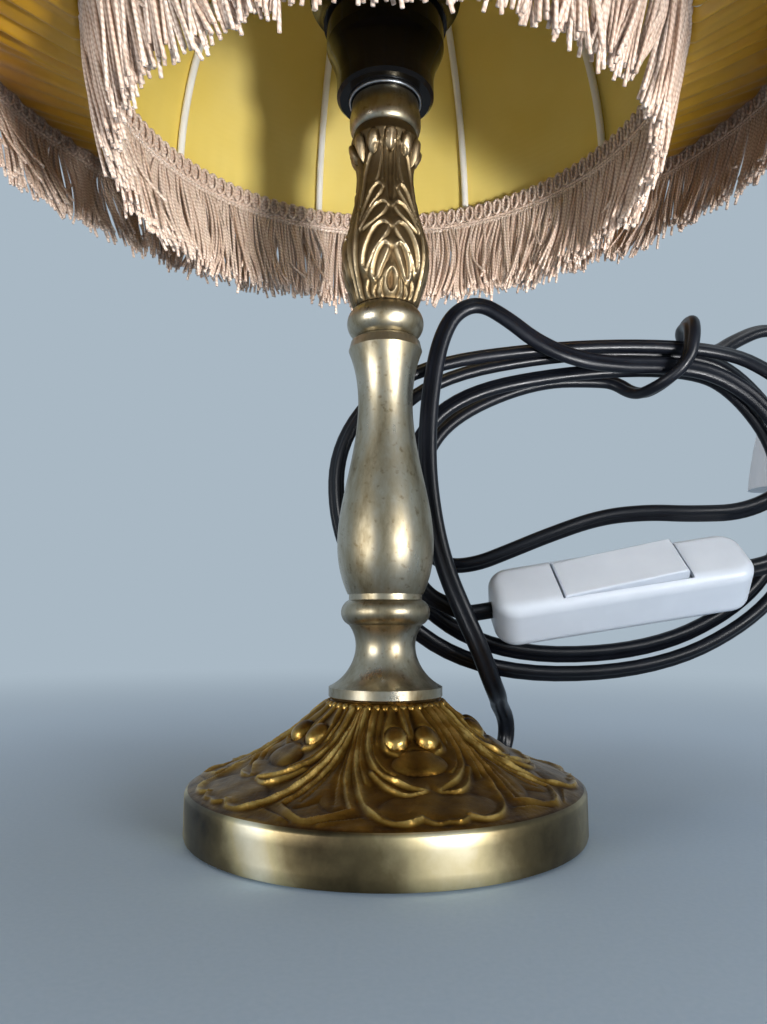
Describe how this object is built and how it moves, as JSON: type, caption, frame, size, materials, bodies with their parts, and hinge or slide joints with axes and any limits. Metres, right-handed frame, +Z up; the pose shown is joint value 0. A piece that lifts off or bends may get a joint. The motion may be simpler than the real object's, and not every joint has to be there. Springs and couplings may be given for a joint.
{
  "type": "table lamp",
  "caption": "Table lamp with a turned brass column, cast leaf base, black lampholder, fringed double fabric shade and black flex with inline switch",
  "frame": {"origin": "centre of the base's underside", "axes": "+Z up the column, -Y towards the viewer of the picture, +X to the right"},
  "size_m": [0.2552, 0.2314, 0.2679],
  "materials": {
    "cast_brass": "antique patina with rubbed highlights",
    "turned_brass": "worn satin",
    "zinc_steel": "zinc plated",
    "black_bakelite": "polished",
    "contact_brass": "plain",
    "white_wire": "gloss white paint",
    "lining_satin": "satin",
    "gold_cloth": "gathered satin",
    "fringe_yarn": "twisted yarn",
    "felt": "felt",
    "white_plastic": "satin moulded",
    "pivot_steel": "plain",
    "black_flex": "smooth jacket"
  },
  "bodies": {
    "lamp": {"base_casting": "cast_brass", "flange_neck": "turned_brass", "lower_bead": "turned_brass", "baluster": "turned_brass", "upper_bead": "turned_brass", "leaf_vase": "turned_brass", "ball_collar": "turned_brass", "stem_rod": "zinc_steel", "rod_washer": "zinc_steel", "rod_nut": "zinc_steel", "terminal_screws": "zinc_steel", "switch_screws": "zinc_steel", "holder_cap": "black_bakelite", "contact_block": "black_bakelite", "holder_skirt": "black_bakelite", "shade_ring": "black_bakelite", "cord_bush": "black_bakelite", "socket_shell": "contact_brass", "centre_contact": "contact_brass", "side_contact": "contact_brass", "switch_contacts": "contact_brass", "plug_pins": "contact_brass", "base_felt": "felt", "switch_base": "white_plastic", "switch_cover": "white_plastic", "plug_body": "white_plastic", "rocker_pin": "pivot_steel", "inner_flex": "black_flex", "cord_feed": "black_flex", "cord_coil": "black_flex"},
    "shade": {"carrier_ring": "white_wire", "carrier_arms": "white_wire", "rim_ring": "white_wire", "belly_ring": "white_wire", "top_ring": "white_wire", "lining_ribs": "white_wire", "cover_struts": "white_wire", "crown_ribs": "white_wire", "shade_lining": "lining_satin", "shade_cover": "gold_cloth", "top_braid": "fringe_yarn", "rim_fringe": "fringe_yarn", "belly_fringe": "fringe_yarn"},
    "clamp": {"clamp_ring": "black_bakelite"},
    "rocker": {"rocker": "white_plastic"}
  },
  "joints": [
    {"name": "shade_turn", "type": "hinge", "parent": "lamp", "child": "shade", "pos_m": [0, 0, 0.2052], "axis": [0, 0, 1], "continuous": true},
    {"name": "ring_turn", "type": "hinge", "parent": "lamp", "child": "clamp", "pos_m": [0, 0, 0.207], "axis": [0, 0, 1], "continuous": true},
    {"name": "rocker_press", "type": "hinge", "parent": "lamp", "child": "rocker", "pos_m": [0.0598, 0.01774, 0.05514], "axis": [-0.1106, 0.7071, 0.6984], "range_deg": [0, 8]}
  ]
}
